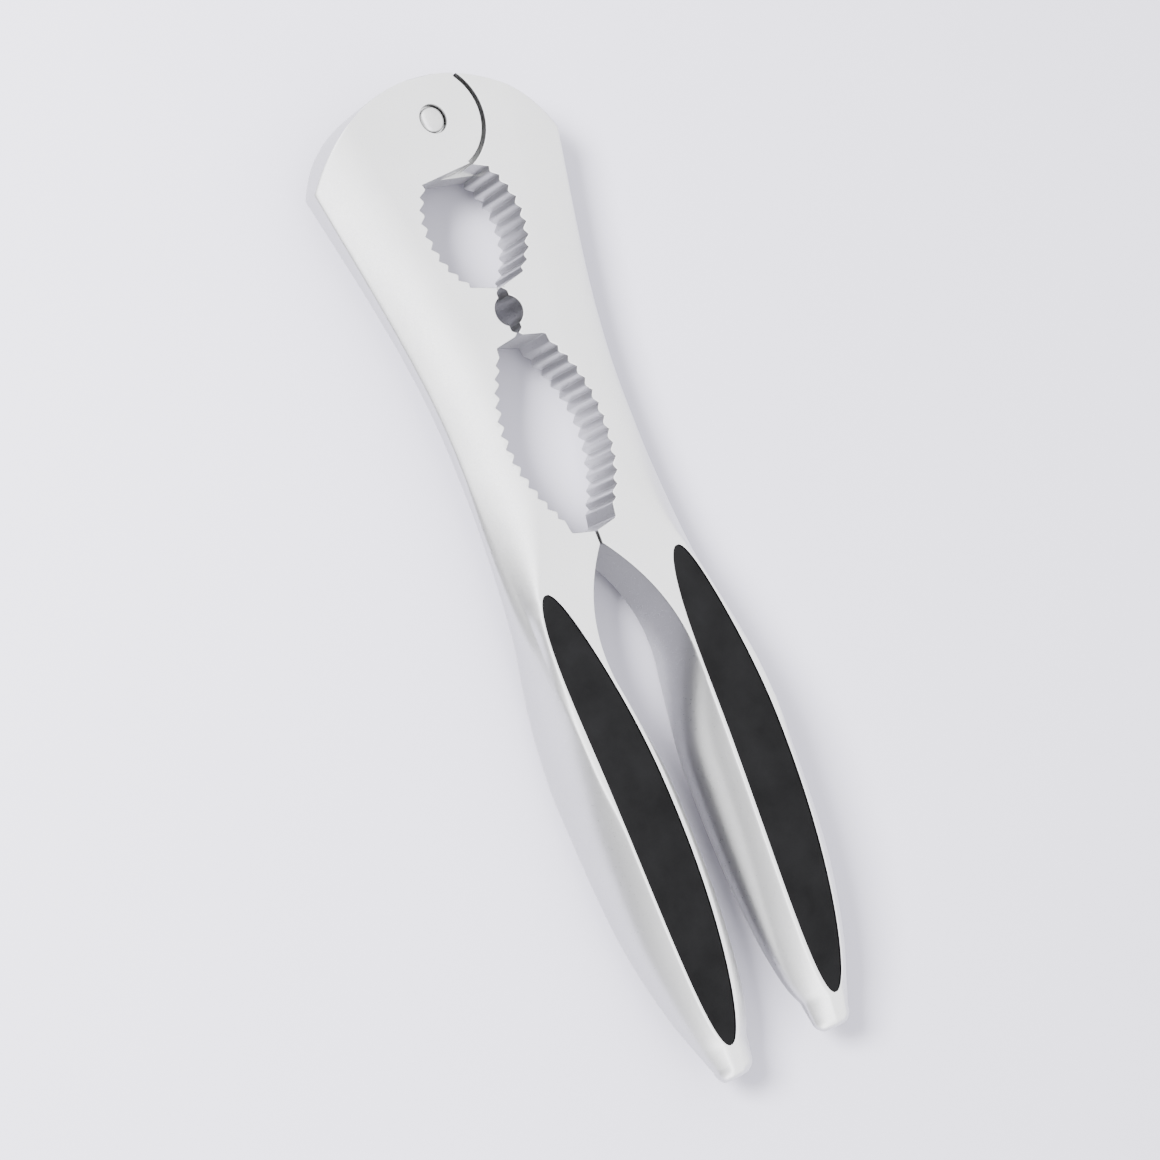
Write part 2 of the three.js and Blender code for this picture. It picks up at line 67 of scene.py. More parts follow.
CROTCH_AT = 88.3
LEAF_END_AT = 114
LEAF_SLOPE = 0.85
SHOULDER_AT = 104
BELLY_AT = 136
TIP_AT = 193
TIP_FACE_HALF = 1.2
TIP_FACE_LENGTH = 12
TIP_FACE_TAPER = 0.08
TIP_ROUND = 2.6
INNER_BULGE = 4.7
BULGE_LOSS = 0.25
BULGE_HOLD = 8
SIDE_LINE = (
    (0, 0),
    (0.155, 0.7),
    (0.287, 1.9),
    (0.395, 3.6),
    (0.512, 5.1),
    (0.643, 5),
    (0.767, 3.8),
    (0.876, 0.8),
    (0.953, -2.5),
    (0.984, -4.1),
)

GRIP_START_AT = 93.8
GRIP_LENGTH = 92.6
GRIP_HALF_WIDTH = 5.87
GRIP_START_X = 16.1
GRIP_END_X = 13.4
GRIP_FULLNESS = 2.2
GRIP_SINK = 0.12
GRIP_FLOOR = 1.6
RIM = 0.8
WIDE_RIM = 1.6
START_FLAT = 1.5
SIDE_FLAT = 0.4
TOUCH = 0.3
FIT = 0.15

TOOTH_DEPTH = 1.15
SMALL_BITE = dict(half=11.5, radius=15.6, at=21.8, before=9.95, after=11.6, teeth=9)
LARGE_BITE = dict(half=11.9, radius=29.1, at=64.8, before=15.5, after=16.1, teeth=12)
EYE_RADIUS = 3.1
EYE_AT = 39.9
NECK_HALF = 1.2
NECK_LENGTH = 1.1

KNUCKLE_RADIUS = 10.6
KNUCKLE_GROOVE = 0.9
LAP_HALF_GAP = 0.25
RIVET_HEAD_RADIUS = 2.6
RIVET_RECESS_RADIUS = 2.95
FAR = 60
FLOOR_HALF = 3000

HEAD_ARC_AT = HEAD_ARC_RADIUS - HEAD_TOP
CORNER_HALF_WIDTH = math.sqrt(HEAD_ARC_RADIUS**2 - (HEAD_ARC_AT - CORNER_AT) ** 2)


def clamp(value, low=0.0, high=1.0):
    return max(low, min(high, value))


def mix(a, b, t):
    return a + (b - a) * t


def smooth(value, start, end):
    t = clamp((value - start) / (end - start))
    return t * t * (3 - 2 * t)


def bend(x, x0, y0, slope0, x1, y1, slope1):
    run = x1 - x0
    t = clamp((x - x0) / run)
    first = (1 + 2 * t) * (1 - t) ** 2 * y0 + t * (1 - t) ** 2 * run * slope0
    return first + t * t * (3 - 2 * t) * y1 + t * t * (t - 1) * run * slope1


# ------------------------------------------------------------------ the lever's shape


def grip_centre(at):
    return mix(GRIP_START_X, GRIP_END_X, (at - GRIP_START_AT) / GRIP_LENGTH)


def grip_half(at):
    t = abs(2 * (at - GRIP_START_AT) / GRIP_LENGTH - 1)
    return 0.0 if t >= 1 else GRIP_HALF_WIDTH * math.sqrt(1 - t**GRIP_FULLNESS)


def face_half(at, rim):
    beside = grip_half(at) + rim
    tip = TIP_FACE_HALF + TIP_FACE_TAPER * min(TIP_AT - at, TIP_FACE_LENGTH)
    apart = beside - tip
    return (beside + tip + math.sqrt(apart * apart + 0.05)) / 2


def face_height(at):
    if at <= BELLY_AT:
        return mix(JAW_HALF, BELLY_HALF, smooth(at, CROTCH_AT, BELLY_AT - 2))
    t = (at - BELLY_AT) / (TIP_AT - BELLY_AT)
    return mix(BELLY_HALF, TIP_HALF, t * t)


def swelling(at):
    if at <= BELLY_AT:
        return smooth(at, SHOULDER_AT, BELLY_AT)
    return 1 - BULGE_LOSS * ((at - BELLY_AT) / (TIP_AT - BELLY_AT)) ** BULGE_HOLD


def through(pairs, at):
    """Smooth curve through (distance, value) pairs, level at the first."""
    last = len(pairs) - 2
    i = 0
    while i < last and at > pairs[i + 1][0]:
        i += 1

    def slope(k):
        if k == 0:
            return 0.0
        before, after = pairs[k - 1], pairs[min(k + 1, last + 1)]
        return (after[1] - before[1]) / (after[0] - before[0])

    return bend(at, *pairs[i], slope(i), *pairs[i + 1], slope(i + 1))


def handle_rim(at):
    return grip_centre(at) + face_half(at, mix(WIDE_RIM, RIM, smooth(at, BELLY_AT - 8, BELLY_AT + 6)))


def inner_face_edge(at):
    return grip_centre(at) - face_half(at, RIM)


def outer_edge(at):
    if at < CORNER_AT:
        return math.sqrt(max(0, HEAD_ARC_RADIUS**2 - (HEAD_ARC_AT - at) ** 2))
    if at < WAIST_AT:
        return bend(at, CORNER_AT, CORNER_HALF_WIDTH, -CORNER_SLOPE, WAIST_AT, WAIST_HALF_WIDTH, 0)
    return WAIST_HALF_WIDTH + through(SIDE_LINE, (at - WAIST_AT) / (TIP_AT - WAIST_AT))


def outer_ridge(at):
    if at < WAIST_AT:
        return outer_edge(at) - RIDGE_INSET
    if at < SHOULDER_AT:
        slope = handle_rim(SHOULDER_AT + 0.5) - handle_rim(SHOULDER_AT - 0.5)
        start = WAIST_HALF_WIDTH - RIDGE_INSET
        return bend(at, WAIST_AT, start, 0, SHOULDER_AT, handle_rim(SHOULDER_AT), slope)
    return handle_rim(at)


def edge_half(at):
    if at < WAIST_AT:
        return mix(CORNER_EDGE_HALF, WAIST_EDGE_HALF, smooth(at, CORNER_AT - 20, WAIST_AT - 20))
    return mix(WAIST_EDGE_HALF, face_height(at) - RIM_LEAN, smooth(at, WAIST_AT + 6, SHOULDER_AT + 18))


def shoulder_line(at):
    if at < CORNER_AT:
        return CORNER_HALF_WIDTH + CORNER_SLOPE * (CORNER_AT - at)
    return outer_edge(at)


def slope_height(at, x):
    line = shoulder_line(at)
    start = max(flat_end(at), line - SLOPE_WIDTH)
    out = np.maximum(0, (x - start) / (line - RIDGE_INSET - start))
    curve = mix(CORNER_CURVE, SLOPE_CURVE, smooth(at, CORNER_AT, CORNER_AT + 35))
    return JAW_HALF - (JAW_HALF - edge_half(at)) * out**curve


def flat_end(at):
    if at < WAIST_AT:
        return min(0.6 * outer_edge(at), shoulder_line(at) - SLOPE_WIDTH)
    if at < GRIP_START_AT:
        waist_flat = WAIST_HALF_WIDTH - SLOPE_WIDTH
        return bend(at, WAIST_AT, waist_flat, 0, GRIP_START_AT, GRIP_START_X + START_FLAT, 0.5)
    beside = min(grip_centre(at) + grip_half(at) + SIDE_FLAT, outer_ridge(at) - 0.3)
    return mix(GRIP_START_X + START_FLAT, beside, smooth(at, GRIP_START_AT, GRIP_START_AT + 4))


def inner_rim(at):
    if at < LEAF_END_AT:
        leaf_end = inner_face_edge(LEAF_END_AT)
        return bend(at, CROTCH_AT, TOUCH, LEAF_SLOPE, LEAF_END_AT, leaf_end, -0.05 * LEAF_SLOPE)
    return inner_face_edge(at)


def inner_edge(at):
    if at < SMALL_BITE["at"]:
        return -mix(min(KNUCKLE_RADIUS + 3, outer_edge(at)), 2, smooth(at, 14, 18))
    if at < CROTCH_AT:
        return mix(-2, TOUCH, smooth(at, CROTCH_AT - 3, CROTCH_AT))
    return inner_rim(at) - (0 if at < SHOULDER_AT else INNER_BULGE * swelling(at))


# ------------------------------------------------------------------ sections and lofts

EDGE_ROUND = 0.22


def spread(count, end_weight=0.75):
    """Values 0..1, closer together at both ends."""
    t = np.linspace(0, 1, count)
    return mix(t, 0.5 - 0.5 * np.cos(np.pi * t), end_weight)


def raw_profile(at):
    """Upper half of a section, from the inner side's middle plane over to the outer side's."""
    height = face_height(at)
    inner = inner_edge(at)
    inner_top = inner if at < CROTCH_AT else inner_rim(at)
    flat, ridge, edge = flat_end(at), outer_ridge(at), outer_edge(at)
    ridge_z = slope_height(at, ridge) if at < WAIST_AT else edge_half(at)
    t = np.linspace(0, 1, 60)
    side = np.stack([mix(inner, inner_top, t * t), height * t], 1)
    top = np.stack([mix(inner_top, flat, t), np.full_like(t, height)], 1)
    across = mix(flat, ridge, t)
    fall = slope_height(at, across) if at < WAIST_AT else mix(height, ridge_z, t**SLOPE_CURVE)
    slope = np.stack([across, fall], 1)
    wall = np.stack([edge - (edge - ridge) * (1 - t) ** 2, ridge_z * (1 - t)], 1)
    return side, top, slope, wall


COUNTS = (16, 10, 16, 16)


def section(at):
    """Points of the upper half with every corner rounded."""
    parts = raw_profile(at)
    points = np.concatenate([p if i == 0 else p[1:] for i, p in enumerate(parts)])
    marks = [0]
    for p in parts:
        marks.append(marks[-1] + len(p) - 1)
    step = np.maximum(np.linalg.norm(np.diff(points, axis=0), axis=1), 1e-9)
    length = np.concatenate([[0], np.cumsum(step)])
    fine = 0.05
    even = np.arange(0, length[-1], fine)
    line = np.stack([np.interp(even, length, points[:, k]) for k in (0, 1)], 1)
    reach = int(4 * EDGE_ROUND / fine)
    flip = np.array([1, -1])
    padded = np.concatenate([line[1 : reach + 1][::-1] * flip, line, line[-reach - 1 : -1][::-1] * flip])
    kernel = np.exp(-0.5 * (np.arange(-reach, reach + 1) * fine / EDGE_ROUND) ** 2)
    kernel /= kernel.sum()
    rounded = np.stack([np.convolve(padded[:, k], kernel, mode="valid") for k in (0, 1)], 1)
    wanted = []
    for i, count in enumerate(COUNTS):
        start, end = length[marks[i]], length[marks[i + 1]]
        values = mix(start, end, spread(count + 1))
        wanted.extend(values if i == 0 else values[1:])
    wanted = np.clip(np.array(wanted), 0.02, even[-1] - 0.02)
    return np.stack([np.interp(wanted, even, rounded[:, k]) for k in (0, 1)], 1)


def closed_loop(upper):
    lower = upper[::-1] * np.array([1, -1])
    return np.concatenate([upper, lower])


def new_object(name, vertices, faces):
    mesh = bpy.data.meshes.new(name)
    mesh.from_pydata([tuple(float(c) * MM for c in v) for v in vertices], [], faces)
    mesh.validate()
    thing = bpy.data.objects.new(name, mesh)
    bpy.context.scene.collection.objects.link(thing)
    return thing


def loft(name, loops):
    """loops: (at, array of [x, z]). The second half of a loop lies under its first half."""
    count = len(loops[0][1])
    vertices = [(x, -at, z) for at, loop in loops for x, z in loop]
    faces = []
    for s in range(len(loops) - 1):
        a = s * count
        for i in range(count):
            j = (i + 1) % count
            faces.append((a + i, a + count + i, a + count + j, a + j))
    last = (len(loops) - 1) * count
    for i in range(count // 2 - 1):
        partner = count - 1 - i
        faces.append((i, i + 1, partner - 1, partner))
        faces.append((last + i, last + partner, last + partner - 1, last + i + 1))
    return new_object(name, vertices, faces)


def head_end_round(at, loop):
    """Rounds the edge between the head's top wall and its faces."""
    radius = 0.45
    depth = at + HEAD_TOP
    if depth >= radius:
        return loop
    drop = radius - math.sqrt(max(0, radius**2 - (radius - depth) ** 2))
    limit = max(0.5, abs(loop[:, 1]).max() - drop)
    return np.stack([loop[:, 0], np.clip(loop[:, 1], -limit, limit)], 1)


def lever_blank(name):
    corner = math.acos((HEAD_ARC_AT - CORNER_AT) / HEAD_ARC_RADIUS)
    arc_angles = np.linspace(math.radians(2.0), corner, 60)
    stations = [HEAD_ARC_AT - HEAD_ARC_RADIUS * math.cos(a) for a in arc_angles]
    stations += list(np.arange(CORNER_AT + 0.4, CROTCH_AT - 0.1, 0.8))
    stations += list(np.arange(CROTCH_AT, TIP_AT - TIP_ROUND, 0.7))
    loops = [(at, head_end_round(at, closed_loop(section(at)))) for at in stations]
    base = TIP_AT - TIP_ROUND
    middle = grip_centre(base)
    tip = closed_loop(section(base))
    for past in np.sin(np.linspace(0, math.pi / 2, 9)):
        narrowing = math.sqrt(1 - (0.76 * past) ** 2)
        thinning = math.sqrt(1 - (0.93 * past) ** 2)
        ring = np.stack([middle + (tip[:, 0] - middle) * narrowing, tip[:, 1] * thinning], 1)
        loops.append((base + TIP_ROUND * past, ring))
    return loft(name, loops)


# ------------------------------------------------------------------ cutters with rounded lips


def top_height(x, at):
    _, top, slope, _ = raw_profile(at)
    if x <= top[-1][0]:
        return float(top[-1][1])
    return float(np.interp(x, slope[:, 0], slope[:, 1]))


def arc(cx, cy, radius, start, end, steps):
    angles = np.radians(np.linspace(start, end, steps + 1))
    return [(cx + radius * math.cos(a), cy + radius * math.sin(a)) for a in angles]


def soften(points, round_share):
    """Rounds each inner corner of an open line; round_share gives each corner's share of its two sides."""
    line = [points[0]]
    for i in range(1, len(points) - 1):
        share = round_share[i]
        before, here, after = (np.array(points[i + k], float) for k in (-1, 0, 1))
        if share <= 0:
            line.append(tuple(here))
            continue
        a = here + (before - here) * share
        b = here + (after - here) * share
        for t in np.linspace(0, 1, 6):
            line.append(tuple((1 - t) ** 2 * a + 2 * t * (1 - t) * here + t * t * b))
    line.append(points[-1])
    return line


def tooth_row(half, radius, at, before, after, teeth):
    start = math.degrees(math.asin(before / radius))
    end = -math.degrees(math.asin(after / radius))
    valleys = arc(half - radius, -at, radius, start, end, teeth)
    row, share = [valleys[0]], [0.05]
    for (x0, y0), (x1, y1) in zip(valleys, valleys[1:]):
        row += [((x0 + x1) / 2 - TOOTH_DEPTH, (y0 + y1) / 2), (x1, y1)]
        share += [0.3, 0.06]
    return row, share


def jaw_line():
    eye_angle = math.degrees(math.acos(NECK_HALF / EYE_RADIUS))
    eye_end = EYE_RADIUS * math.sin(math.radians(eye_angle))
    small, small_share = tooth_row(**SMALL_BITE)
    large, large_share = tooth_row(**LARGE_BITE)
    eye = arc(0, -EYE_AT, EYE_RADIUS, eye_angle, -eye_angle, 28)
    line = list(small)
    share = list(small_share)

    def put(points, value):
        line.extend(points)
        share.extend([value] * len(points))

    put([(FIT, -(EYE_AT - eye_end - 2 * NECK_LENGTH + 0.3))], 0.06)
    put([(NECK_HALF, -(EYE_AT - eye_end - NECK_LENGTH))], 0.35)
    put(eye, 0)
    put([(NECK_HALF, -(EYE_AT + eye_end + NECK_LENGTH))], 0.35)
    put([(FIT, -(EYE_AT + eye_end + 1.6 * NECK_LENGTH))], 0.1)
    put([(FIT + 0.7, -(EYE_AT + eye_end + 2.2 * NECK_LENGTH))], 0.1)
    put([(5.8, -46.2), (6.0, -48.1)], 0.12)
    line += large
    share += large_share
    put([(large[-1][0] - TOOTH_DEPTH - 0.1, large[-1][1] - 0.8), (5.3, -84.5)], 0.12)
    put([(TOUCH, -85.6)], 0.05)
    put([(TOUCH, -CROTCH_AT - 2)], 0)
    return line, share


LIP = 0.24


def lipped_cutter(name, outline, low, high):
    """Prism over a closed outline, metal on its left, that flares where it leaves the metal."""
    points = np.array(outline, float)
    before = points - np.roll(points, 1, 0)
    after = np.roll(points, -1, 0) - points
    before /= np.maximum(np.linalg.norm(before, axis=1), 1e-9)[:, None]
    after /= np.maximum(np.linalg.norm(after, axis=1), 1e-9)[:, None]
    n1 = np.stack([-before[:, 1], before[:, 0]], 1)
    n2 = np.stack([-after[:, 1], after[:, 0]], 1)
    normal = n1 + n2
    normal /= np.maximum(np.linalg.norm(normal, axis=1), 1e-9)[:, None]
    stretch = 1 / np.maximum((normal * n1).sum(1), 0.45)
    offset = normal * stretch[:, None]
    heights = np.array([top_height(max(0.0, x), clamp(-y, -8.0, 200)) for x, y in points])
    rings = []

    def add(side):
        angles = np.radians([0, 30, 60, 90])
        parts = [(LIP * (1 - math.cos(a)), -LIP + LIP * math.sin(a)) for a in angles]
        parts.append((LIP + 1.0, 1.2))
        ordered = parts if side > 0 else parts[::-1]
        for out, up in ordered:
            rings.append(np.column_stack([points + offset * out, side * (heights + up)]))

    if low < -6:
        add(-1)
    else:
        rings.append(np.column_stack([points, np.full(len(points), low)]))
    if high > 6:
        add(1)
    else:
        rings.append(np.column_stack([points, np.full(len(points), high)]))
    count = len(points)
    vertices = np.concatenate(rings)
    faces = []
    for r in range(len(rings) - 1):
        for i in range(count):
            j = (i + 1) % count
            faces.append((r * count + i, r * count + j, (r + 1) * count + j, (r + 1) * count + i))
    faces.append(tuple(range(count))[::-1])
    faces.append(tuple(range((len(rings) - 1) * count, len(rings) * count)))
    return new_object(name, vertices, faces)


def fix_normals(thing):
    import bmesh

    work = bmesh.new()
    work.from_mesh(thing.data)
    bmesh.ops.triangulate(work, faces=[f for f in work.faces if len(f.verts) > 4])
    bmesh.ops.recalc_face_normals(work, faces=work.faces)
    work.to_mesh(thing.data)
    work.free()


def cut(target, cutter, operation="DIFFERENCE"):
    fix_normals(cutter)
    modifier = target.modifiers.new("cut", "BOOLEAN")
    modifier.operation = operation
    modifier.solver = "MANIFOLD"
    modifier.object = cutter
    depsgraph = bpy.context.evaluated_depsgraph_get()
    result = bpy.data.meshes.new_from_object(target.evaluated_get(depsgraph))
    target.modifiers.clear()
    old = target.data
    target.data = result
    bpy.data.meshes.remove(old)
    bpy.data.objects.remove(cutter)


def finish_mesh(thing, material, sharp=32):
    for polygon in thing.data.polygons:
        polygon.use_smooth = True
    thing.data.set_sharp_from_angle(angle=math.radians(sharp))
    modifier = thing.modifiers.new("weighted", "WEIGHTED_NORMAL")
    modifier.keep_sharp = True
    modifier.weight = 80
    thing.data.materials.clear()
    thing.data.materials.append(material)


# ------------------------------------------------------------------ lever pieces


def layer_cutters():
    line, share = jaw_line()
    body = soften(line, share)
    body = [line[0]] + body[1:]
    far_left = [(-FAR, body[-1][1]), (-FAR, FAR)]
    groove = arc(0, 0, KNUCKLE_RADIUS + KNUCKLE_GROOVE, 44, -67.5, 60)
    shoulder = [(groove[0][0] - 0.4, FAR), *groove, *body, *far_left]
    rim = arc(0, 0, KNUCKLE_RADIUS, 139, 248, 60)
    knuckle = [(rim[0][0] + 0.2, FAR), *rim, (-4.1, -10.3), *body, *far_left]
    return shoulder, knuckle


def grip_loops(grow, low, roof, steps, ends=1.0):
    loops = []
    for i in range(steps + 1):
        along = (1 - math.cos(math.pi * (i + 0.12) / (steps + 0.24))) / 2
        at = GRIP_START_AT + GRIP_LENGTH * along
        half = grip_half(at) + grow
        if half > 0.08:
            loops.append((at, grip_centre(at), half, low, roof(at)))
    return loops


def pocket_cutter(name, side):
    """Follows the grip's outline with a small flare at the rim."""
    rings = []
    for at, centre, half, low, top in grip_loops(FIT * 0.6, GRIP_FLOOR, face_height, 150):
        lip = 0.1
        right = [(half, low), (half, top - lip), (half + lip * 0.35, top - lip * 0.3), (half + lip, top)]
        right.append((half + lip + 0.6, top + 0.6))
        loop = [(centre - x, z) for x, z in right] + [(centre + x, z) for x, z in right[::-1]]
        rings.append((at, np.array(loop)))
    thing = loft(name, rings)
    if side < 0:
        thing.data.transform(Matrix.Diagonal((1, 1, -1, 1)))
    return thing


def grip_piece(name, side):
    rings = []
    roof = lambda at: face_height(at) - GRIP_SINK
    for at, centre, half, low, top in grip_loops(-0.05, GRIP_FLOOR + 0.3, roof, 200):
        lip = min(0.3, half * 0.7)
        right = [(half, low), (half, top - lip)]
        for a in np.radians([22, 45, 68, 90]):
            right.append((half - lip * (1 - math.cos(a)), top - lip + lip * math.sin(a)))
        crown = 0.06 * clamp(half / 5)
        for share in (0.75, 0.5, 0.25, 0.0):
            right.append(((half - lip) * share, top + crown * (1 - share**2)))
        left = [(centre - x, z) for x, z in right]
        loop = left + [(centre + x, z) for x, z in right[-2::-1]]
        rings.append((at, np.array(loop)))
    count = len(rings[0][1])
    vertices = [(x, -at, z) for at, loop in rings for x, z in loop]
    faces = []
    for s in range(len(rings) - 1):
        a = s * count
        for i in range(count):
            j = (i + 1) % count
            faces.append((a + i, a + count + i, a + count + j, a + j))
    faces.append(tuple(range(count)))
    last = (len(rings) - 1) * count
    faces.append(tuple(range(last, last + count))[::-1])
    thing = new_object(name, vertices, faces)
    if side < 0:
        thing.data.transform(Matrix.Diagonal((1, 1, -1, 1)))
    fix_normals(thing)
    return thing


def turned(name, profile, steps=72):
    vertices, faces = [], []
    for radius, z in profile:
        for k in range(steps):
            a = 2 * math.pi * k / steps
            vertices.append((radius * math.cos(a), radius * math.sin(a), z))
    for r in range(len(profile) - 1):
        for k in range(steps):
            j = (k + 1) % steps
            faces.append((r * steps + k, r * steps + j, (r + 1) * steps + j, (r + 1) * steps + k))
    faces.append(tuple(range(steps))[::-1])
    last = (len(profile) - 1) * steps
    faces.append(tuple(range(last, last + steps)))
    thing = new_object(name, vertices, faces)
    fix_normals(thing)
    return thing


def build_lever(name):
    lever = lever_blank(name)
    fix_normals(lever)
    shoulder, knuckle = layer_cutters()
    cut(lever, lipped_cutter("shoulder_cut", shoulder, -LAP_HALF_GAP, 9))
    cut(lever, lipped_cutter("knuckle_cut", knuckle, -9, -LAP_HALF_GAP + 0.12))
    cut(lever, pocket_cutter("upper_pocket", 1))
    cut(lever, pocket_cutter("lower_pocket", -1))
    recess = [(2.05, 1), (2.05, -3.9), (RIVET_RECESS_RADIUS, -3.9), (RIVET_RECESS_RADIUS, -JAW_HALF + 0.2)]
    recess += [(RIVET_RECESS_RADIUS + 0.08, -JAW_HALF + 0.05), (RIVET_RECESS_RADIUS + 0.25, -JAW_HALF)]
    recess += [(RIVET_RECESS_RADIUS + 0.6, -JAW_HALF - 0.4)]
    cut(lever, turned("rivet_recess", recess[::-1]))
    cut(lever, turned("washer_recess", [(5.3, -0.7), (5.3, 0.0)]))
    return lever


# ------------------------------------------------------------------ materials


class Nodes:
    def __init__(self, name):
        self.material = bpy.data.materials.new(name)
        self.material.use_nodes = True
        self.tree = self.material.node_tree
        self.shader = self.tree.nodes["Principled BSDF"]
        self.coords = self.tree.nodes.new("ShaderNodeTexCoord").outputs["Object"]

    def link(self, a, b):
        self.tree.links.new(a, b)

    def node(self, kind, **inputs):
        made = self.tree.nodes.new(kind)
        for key, value in inputs.items():
            made.inputs[key.replace("_", " ")].default_value = value
        return made

    def noise(self, scale, detail=3, roughness=0.5, stretch=None):
        made = self.node("ShaderNodeTexNoise", Scale=scale, Detail=detail, Roughness=roughness)
        source = self.coords
        if stretch:
            mapping = self.node("ShaderNodeMapping")
            mapping.inputs["Scale"].default_value = stretch
            self.link(source, mapping.inputs["Vector"])
            source = mapping.outputs["Vector"]
        self.link(source, made.inputs["Vector"])
        return made.outputs["Fac"]

    def remap(self, value, low, high, start=0.3, end=0.7):
        made = self.node("ShaderNodeMapRange")
        made.inputs["From Min"].default_value = start
        made.inputs["From Max"].default_value = end
        made.inputs["To Min"].default_value = low
        made.inputs["To Max"].default_value = high
        self.link(value, made.inputs["Value"])
        return made.outputs["Result"]

    def ramp(self, value, stops):
        made = self.node("ShaderNodeValToRGB")
        ramp = made.color_ramp
        while len(ramp.elements) < len(stops):
            ramp.elements.new(0.5)
        for element, (place, colour) in zip(ramp.elements, stops):
            element.position = place
            element.color = (*colour, 1)
        self.link(value, made.inputs["Fac"])
        return made.outputs["Color"]

    def bump(self, value, distance, strength, before=None):
        made = self.node("ShaderNodeBump", Distance=distance, Strength=strength)
        self.link(value, made.inputs["Height"])
        if before is not None:
            self.link(before, made.inputs["Normal"])
        return made.outputs["Normal"]


def cast_metal():
    n = Nodes("satin_cast_metal")
    cloud = n.noise(60, 4, 0.55)
    grain = n.noise(2600, 2, 0.6)
    tone = n.ramp(cloud, [(0.3, (0.52, 0.52, 0.52)), (0.7, (0.55, 0.55, 0.55))])
    n.link(tone, n.shader.inputs["Base Color"])
    n.link(n.remap(grain, 0.27, 0.37), n.shader.inputs["Roughness"])
    swell = n.bump(n.noise(260, 2, 0.5), 0.0004, 0.10)
    n.link(n.bump(grain, 0.00005, 0.18, swell), n.shader.inputs["Normal"])
    n.shader.inputs["Metallic"].default_value = 1.0
    return n.material


def soft_rubber():
    n = Nodes("soft_grip_rubber")
    cloud = n.noise(120, 4, 0.6)
    grain = n.noise(5200, 2, 0.7)
    tone = n.ramp(cloud, [(0.3, (0.0018, 0.0018, 0.0019)), (0.7, (0.0030, 0.0030, 0.0032))])
    n.link(tone, n.shader.inputs["Base Color"])
    n.link(n.remap(grain, 0.62, 0.78), n.shader.inputs["Roughness"])
    n.link(n.bump(grain, 0.00008, 0.35), n.shader.inputs["Normal"])
    n.shader.inputs["Specular IOR Level"].default_value = 0.04
    return n.material


def bright_steel():
    n = Nodes("bright_rivet_steel")
    turn = n.noise(900, 3, 0.6, (1, 1, 0.05))
    tone = n.ramp(turn, [(0.3, (0.40, 0.40, 0.40)), (0.7, (0.46, 0.46, 0.46))])
    n.link(tone, n.shader.inputs["Base Color"])
    n.link(n.remap(turn, 0.18, 0.3), n.shader.inputs["Roughness"])
    n.link(n.bump(turn, 0.00004, 0.15), n.shader.inputs["Normal"])
    n.shader.inputs["Metallic"].default_value = 1.0
    return n.material


def washer_nylon():
    n = Nodes("washer_nylon")
    cloud = n.noise(700, 3, 0.5)
    tone = n.ramp(cloud, [(0.3, (0.74, 0.73, 0.68)), (0.7, (0.82, 0.81, 0.76))])
    n.link(tone, n.shader.inputs["Base Color"])
    n.link(n.remap(cloud, 0.42, 0.55), n.shader.inputs["Roughness"])
    n.link(n.bump(cloud, 0.00004, 0.2), n.shader.inputs["Normal"])
    return n.material


def floor_paper():
    n = Nodes("pale_floor")
    cloud = n.noise(9, 3, 0.5)
    tone = n.ramp(cloud, [(0.3, (0.27, 0.264, 0.305)), (0.7, (0.28, 0.274, 0.315))])
    n.link(tone, n.shader.inputs["Base Color"])
    n.shader.inputs["Roughness"].default_value = 0.85
    n.shader.inputs["Specular IOR Level"].default_value = 0.1
    return n.material


METAL = cast_metal()
RUBBER = soft_rubber()
STEEL = bright_steel()
NYLON = washer_nylon()

# ------------------------------------------------------------------ assembly

TURN = Matrix.Rotation(math.pi, 4, "Y")
PLACE = Matrix.Translation(PIVOT)


def settle(thing, turned_over, node, body):
    if turned_over:
        thing.data.transform(TURN)
    thing.data.transform(PLACE)
    thing.data.update()
    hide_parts(node)
    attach(thing, body)


right = build_lever("right_lever_body")
finish_mesh(right, METAL)
left = bpy.data.objects.new("left_lever_body", right.data.copy())
bpy.context.scene.collection.objects.link(left)
modifier = left.modifiers.new("weighted", "WEIGHTED_NORMAL")
modifier.keep_sharp = True
modifier.weight = 80
settle(right, False, "right_lever", "right_half")
settle(left, True, "left_lever", "left_half")

for hand, over in (("right", False), ("left", True)):
    for face in ("top", "bottom"):
        side = 1 if (face == "top") != over else -1
        inlay = grip_piece(f"{hand}_{face}_inlay", side)
        finish_mesh(inlay, RUBBER, 40)
        settle(inlay, over, f"{hand}_{face}_grip", f"{hand}_half")

dome_angles = np.radians(np.linspace(0, 88, 14))
dome = [(RIVET_HEAD_RADIUS * math.cos(a), 4.75 + 0.88 * math.sin(a)) for a in dome_angles]
rivet_head = [(RIVET_HEAD_RADIUS - 0.1, 4.4), (RIVET_HEAD_RADIUS, 4.5), *dome]
stud = turned("rivet_stud_body", [(0.8, -4), (0.8, 4.4), *rivet_head])
finish_mesh(stud, STEEL)
settle(stud, False, "rivet_stud", "right_half")
sleeve = turned("rivet_sleeve_body", [(1.15, -4.1), (1.75, -4.1), (1.75, 4.4), *rivet_head])
finish_mesh(sleeve, STEEL)
settle(sleeve, True, "rivet_sleeve", "right_half")

washer = frame["nodes"]["pivot_washer"]
washer.data.materials.clear()
washer.data.materials.append(NYLON)

# ------------------------------------------------------------------ stage, light and camera

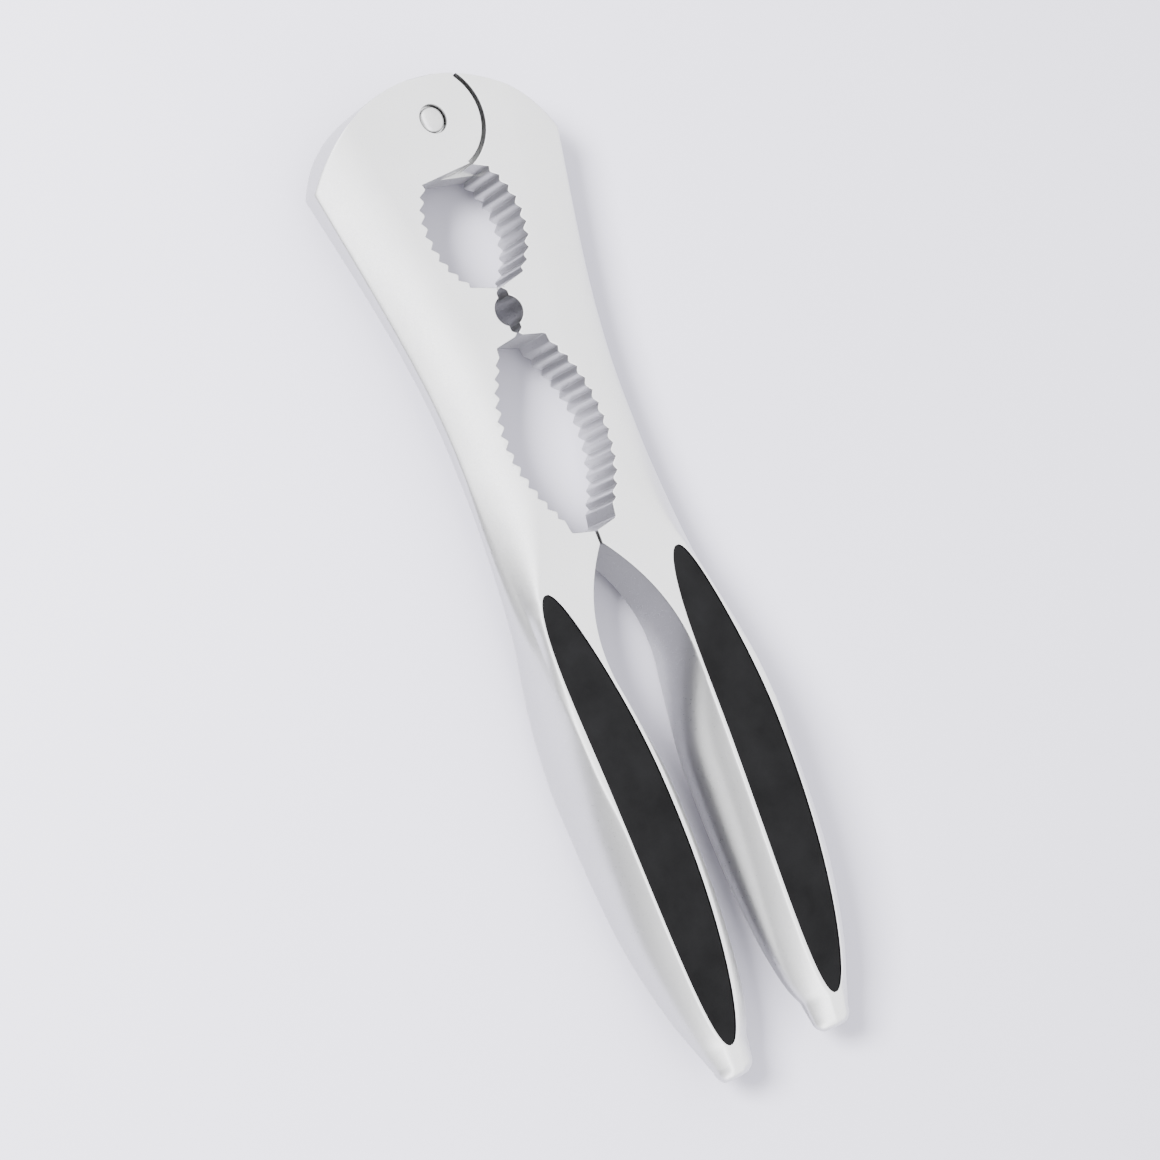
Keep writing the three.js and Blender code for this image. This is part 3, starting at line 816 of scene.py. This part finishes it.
floor_corners = [(-FLOOR_HALF, -FLOOR_HALF, 0), (FLOOR_HALF, -FLOOR_HALF, 0)]
floor_corners += [(FLOOR_HALF, FLOOR_HALF, 0), (-FLOOR_HALF, FLOOR_HALF, 0)]
floor = new_object("floor", floor_corners, [(0, 1, 2, 3)])
floor.data.materials.append(floor_paper())


def area_light(name, place, target, size, power, colour=(1, 1, 1)):
    data = bpy.data.lights.new(name, "AREA")
    data.shape = "RECTANGLE"
    data.size, data.size_y = size
    data.energy = power
    data.color = colour
    light = bpy.data.objects.new(name, data)
    bpy.context.scene.collection.objects.link(light)
    light.location = place
    light.rotation_mode = "QUATERNION"
    light.rotation_quaternion = (Vector(target) - Vector(place)).to_track_quat("-Z", "Y")
    light.visible_glossy = False


area_light("key", (-0.72, 0.36, 0.66), (0, 0, 0), (0.3, 0.3), 110)


def studio_world(towards, stops, strength):
    """A soft dome that changes along one direction."""
    world = bpy.data.worlds.new("studio")
    world.use_nodes = True
    tree = world.node_tree
    direction = tree.nodes.new("ShaderNodeTexCoord").outputs["Generated"]
    product = tree.nodes.new("ShaderNodeVectorMath")
    product.operation = "DOT_PRODUCT"
    product.inputs[1].default_value = towards
    tree.links.new(direction, product.inputs[0])
    shift = tree.nodes.new("ShaderNodeMapRange")
    shift.inputs["From Min"].default_value = -1
    tree.links.new(product.outputs["Value"], shift.inputs["Value"])
    ramp = tree.nodes.new("ShaderNodeValToRGB")
    while len(ramp.color_ramp.elements) < len(stops):
        ramp.color_ramp.elements.new(0.5)
    for element, (place, tone) in zip(ramp.color_ramp.elements, stops):
        element.position = (place + 1) / 2
        element.color = (tone, tone, tone * 1.02, 1)
    tree.links.new(shift.outputs["Result"], ramp.inputs["Fac"])
    tree.links.new(ramp.outputs["Color"], tree.nodes["Background"].inputs["Color"])
    tree.nodes["Background"].inputs["Strength"].default_value = strength
    bpy.context.scene.world = world


# Share of the way across the dome, from left to right, and its tone there
DOME = (
    (-1, 0.22),
    (-0.83, 0.42),
    (-0.5, 0.75),
    (-0.22, 1.9),
    (-0.04, 1.4),
    (0.2, 1.04),
    (0.35, 1.0),
    (0.55, 1.0),
    (1, 0.95),
)
studio_world((1, 0, 0), DOME, 4.5)

camera_data = bpy.data.cameras.new("camera")
camera_data.sensor_width = 36
camera_data.lens = 93.1
camera_data.clip_start = 0.01
camera_data.clip_end = 20
camera = bpy.data.objects.new("camera", camera_data)
bpy.context.scene.collection.objects.link(camera)
right_axis = Vector((0.7903, -0.3682, 0.4897))
up_axis = Vector((0.3052, 0.9297, 0.2063))
back_axis = Vector((-0.5312, -0.0136, 0.8471))
spin = Matrix((right_axis, up_axis, back_axis)).transposed()
camera_place = PIVOT + Vector((-0.31279, -0.10121, 0.48656 + 0.0055))
camera.matrix_world = Matrix.Translation(camera_place) @ spin.to_4x4()
bpy.context.scene.camera = camera
